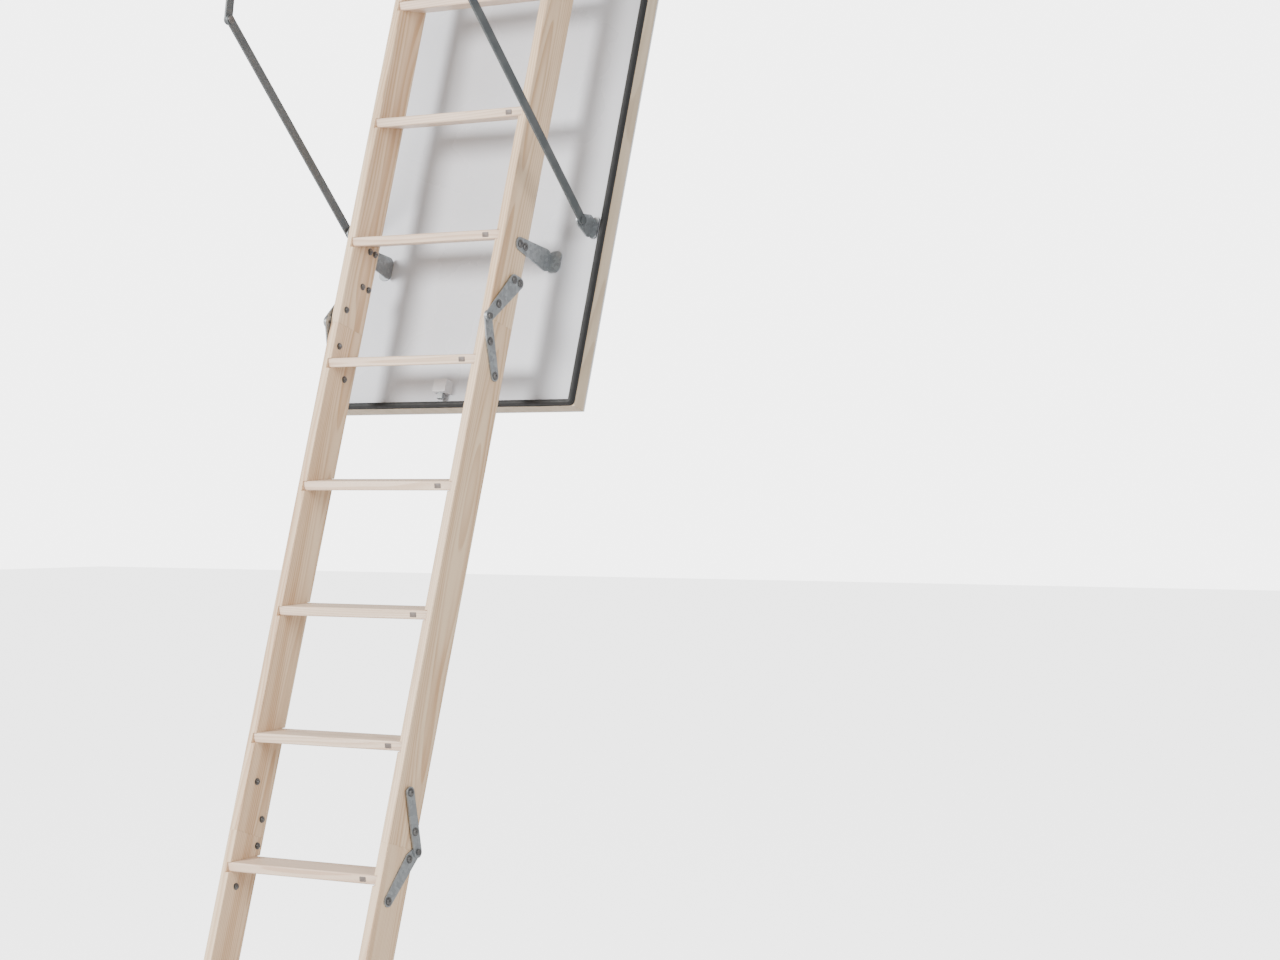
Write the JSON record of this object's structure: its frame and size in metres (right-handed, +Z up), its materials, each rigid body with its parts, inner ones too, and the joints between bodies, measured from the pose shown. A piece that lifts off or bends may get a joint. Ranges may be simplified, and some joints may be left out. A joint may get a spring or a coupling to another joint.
{
  "type": "attic ladder",
  "caption": "Folding timber loft ladder on a hinged insulated hatch, with hatch box, swing arms, springs, folding hinges, latch and rubber feet.",
  "frame": {"origin": "middle of the rear board's lower rim, in the plane of the ceiling", "axes": "+X to the climber's right, +Y away from the climber towards the hatch hinges, +Z up"},
  "size_m": [0.63, 1.229, 3.0901],
  "materials": {
    "stringer_pine": "planed pine, clear satin lacquer",
    "tread_pine": "planed pine, clear satin lacquer",
    "box_pine": "planed pine boards",
    "door_white": "smooth satin white facing on insulated board",
    "skin_white": "smooth satin white hardboard skin",
    "lipping_timber": "sanded timber edging",
    "gasket_black": "soft black foam seal",
    "zinc_steel": "zinc plated pressed steel",
    "bar_steel": "dark phosphated flat bar",
    "bolt_steel": "dark zinc plated fixings",
    "spring_steel": "oiled spring steel",
    "latch_grey": "light grey moulded latch",
    "foot_rubber": "black moulded rubber"
  },
  "bodies": {
    "hatch_box": {"arm_pivot_plates": "zinc_steel", "box_corner_screws": "bolt_steel", "box_end_front": "box_pine", "box_end_rear": "box_pine", "box_side_left": "box_pine", "box_side_right": "box_pine", "hatch_hinge_fixed_leaves": "zinc_steel", "hatch_hinge_pins": "zinc_steel", "latch_keeper": "zinc_steel", "spring_pegs": "zinc_steel", "tension_spring_left": "spring_steel", "tension_spring_right": "spring_steel"},
    "hatch_door": {"door_outer_skin": "skin_white", "door_lipping": "lipping_timber", "door_insulated_core": "door_white", "door_gasket": "gasket_black", "hatch_hinge_door_leaves": "zinc_steel", "latch_case": "latch_grey", "door_arm_brackets": "zinc_steel", "upper_stand_off_brackets": "zinc_steel", "lower_stand_off_brackets": "zinc_steel", "upper_stringer_left": "stringer_pine", "upper_stringer_right": "stringer_pine", "tread_01": "tread_pine", "tread_02": "tread_pine", "tread_03": "tread_pine", "tread_04": "tread_pine", "upper_fold_upper_leaves": "zinc_steel", "upper_fold_pins": "bolt_steel", "upper_section_bolts": "bolt_steel"},
    "middle_section": {"middle_stringer_left": "stringer_pine", "middle_stringer_right": "stringer_pine", "tread_05": "tread_pine", "tread_06": "tread_pine", "tread_07": "tread_pine", "tread_08": "tread_pine", "upper_fold_lower_leaves": "zinc_steel", "lower_fold_upper_leaves": "zinc_steel", "lower_fold_pins": "bolt_steel", "middle_section_bolts": "bolt_steel"},
    "lower_section": {"lower_stringer_left": "stringer_pine", "lower_stringer_right": "stringer_pine", "tread_09": "tread_pine", "tread_10": "tread_pine", "tread_11": "tread_pine", "tread_12": "tread_pine", "lower_fold_lower_leaves": "zinc_steel", "lower_section_bolts": "bolt_steel", "foot_left": "foot_rubber", "foot_right": "foot_rubber"},
    "upper_arm_left": {"upper_arm_left": "bar_steel", "elbow_rivet_left": "bolt_steel"},
    "lower_arm_left": {"lower_arm_left": "bar_steel"},
    "upper_arm_right": {"upper_arm_right": "bar_steel", "elbow_rivet_right": "bolt_steel"},
    "lower_arm_right": {"lower_arm_right": "bar_steel"},
    "latch_knob": {"latch_knob": "latch_grey"},
    "latch_bolt": {"latch_bolt": "zinc_steel"}
  },
  "joints": [
    {"name": "hatch_swing", "type": "hinge", "parent": "hatch_box", "child": "hatch_door", "pos_m": [0, 0.015, 0], "axis": [-1, 0, 0], "range_deg": [0, 63]},
    {"name": "ladder_fold", "type": "hinge", "parent": "hatch_door", "child": "middle_section", "pos_m": [0, -0.43905, -0.96618], "axis": [-1, 0, 0], "range_deg": [0, 180]},
    {"name": "lower_section_fold", "type": "hinge", "parent": "middle_section", "child": "lower_section", "pos_m": [0, -0.6623, -1.9569], "axis": [1, 0, 0], "range_deg": [0, 180]},
    {"name": "upper_arm_swing_left", "type": "hinge", "parent": "hatch_box", "child": "upper_arm_left", "pos_m": [-0.291, -0.54, 0.105], "axis": [-1, 0, 0], "range_deg": [0, 116.3], "deforming": ["tension_spring_left"]},
    {"name": "lower_arm_swing_left", "type": "hinge", "parent": "upper_arm_left", "child": "lower_arm_left", "pos_m": [-0.286, -0.61645, -0.39647], "axis": [1, 0, 0], "range_deg": [0, 90.6]},
    {"name": "upper_arm_swing_right", "type": "hinge", "parent": "hatch_box", "child": "upper_arm_right", "pos_m": [0.291, -0.54, 0.105], "axis": [-1, 0, 0], "range_deg": [0, 116.3], "deforming": ["tension_spring_right"]},
    {"name": "lower_arm_swing_right", "type": "hinge", "parent": "upper_arm_right", "child": "lower_arm_right", "pos_m": [0.286, -0.61645, -0.39647], "axis": [1, 0, 0], "range_deg": [0, 90.6]},
    {"name": "latch_turn", "type": "hinge", "parent": "hatch_door", "child": "latch_knob", "pos_m": [0, -0.31816, -1.09657], "axis": [0, -0.9537, 0.3007], "range_deg": [0, 90]},
    {"name": "latch_slide", "type": "slide", "parent": "hatch_door", "child": "latch_bolt", "axis": [0, 0.3007, 0.9537], "range_m": [0, 0.01]}
  ],
  "couplings": [
    {"joint": "lower_section_fold", "follows": "ladder_fold", "ratio": 1},
    {"joint": "upper_arm_swing_left", "follows": "hatch_swing", "ratio": 1.8381},
    {"joint": "lower_arm_swing_left", "follows": "hatch_swing", "ratio": 1.4296},
    {"joint": "upper_arm_swing_right", "follows": "hatch_swing", "ratio": 1.8381},
    {"joint": "lower_arm_swing_right", "follows": "hatch_swing", "ratio": 1.4296},
    {"joint": "latch_turn", "follows": "latch_slide", "rad_per_m": 157}
  ]
}
